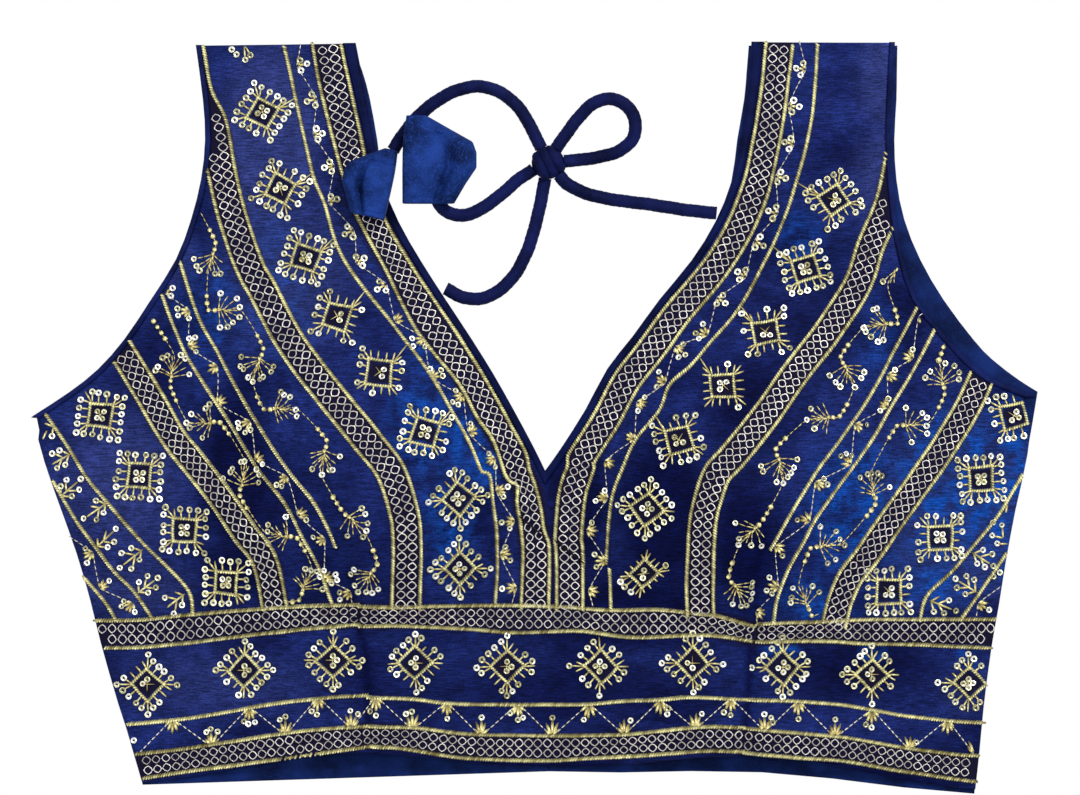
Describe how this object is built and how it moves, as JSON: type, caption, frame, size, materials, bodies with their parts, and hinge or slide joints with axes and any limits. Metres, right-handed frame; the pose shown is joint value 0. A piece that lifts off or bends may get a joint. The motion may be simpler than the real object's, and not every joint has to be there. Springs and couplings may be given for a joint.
{
  "type": "choli blouse",
  "caption": "Cropped sleeveless choli blouse laid flat, front up: deep V neck, embroidered front with darted cups, plain back, cord ties with cloth tassels.",
  "frame": {"origin": "on the surface that the blouse lies on, under the middle of the cloth", "axes": "+X across the blouse to its left-hand side as worn, +Y up the body towards the shoulders, +Z away from the surface, out of the front"},
  "size_m": [0.472, 0.3528, 0.0283],
  "materials": {
    "embroidered_silk": "navy slubbed art silk with gold zari embroidery and sequins",
    "plain_silk": "plain navy slubbed art silk"
  },
  "bodies": {
    "root": {"front_panel": "embroidered_silk", "neck_binding": "plain_silk", "armhole_piping_left": "plain_silk", "armhole_piping_right": "plain_silk", "back_left": "plain_silk", "back_right": "plain_silk", "tie_left": "plain_silk", "tie_right": "plain_silk", "bow_loop": "plain_silk", "tail_a": "plain_silk", "tail_b": "plain_silk", "tie_knot": "plain_silk", "tassel_a": "plain_silk", "tassel_b": "plain_silk"}
  },
  "joints": []
}
